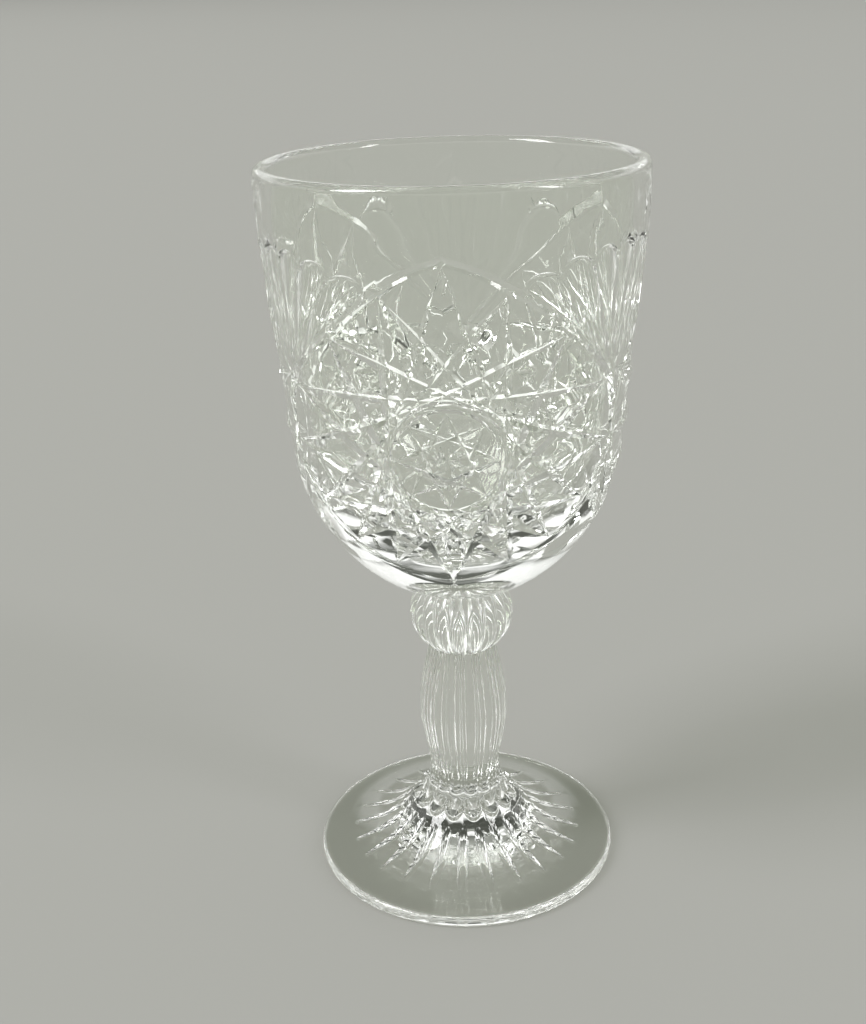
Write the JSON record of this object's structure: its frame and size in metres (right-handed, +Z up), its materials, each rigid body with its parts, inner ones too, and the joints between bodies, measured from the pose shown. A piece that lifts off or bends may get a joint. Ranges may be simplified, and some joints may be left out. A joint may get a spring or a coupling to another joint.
{
  "type": "water goblet",
  "caption": "Clear pressed glass water goblet with a hobstar bowl, ribbed knop, reeded stem and round fluted foot.",
  "frame": {"origin": "centre of the ring face that the foot rests on", "axes": "+Z up along the goblet's axis, -Y towards the middle of one of the three medallions"},
  "size_m": [0.084, 0.084, 0.17],
  "materials": {
    "bowl_glass": "clear pressed soda-lime glass, fire polished",
    "stem_glass": "clear pressed soda-lime glass, fire polished",
    "foot_glass": "clear pressed soda-lime glass, fire polished"
  },
  "bodies": {
    "root": {"bowl": "bowl_glass", "knop": "stem_glass", "stem": "stem_glass", "collar": "foot_glass", "foot": "foot_glass"}
  },
  "joints": []
}
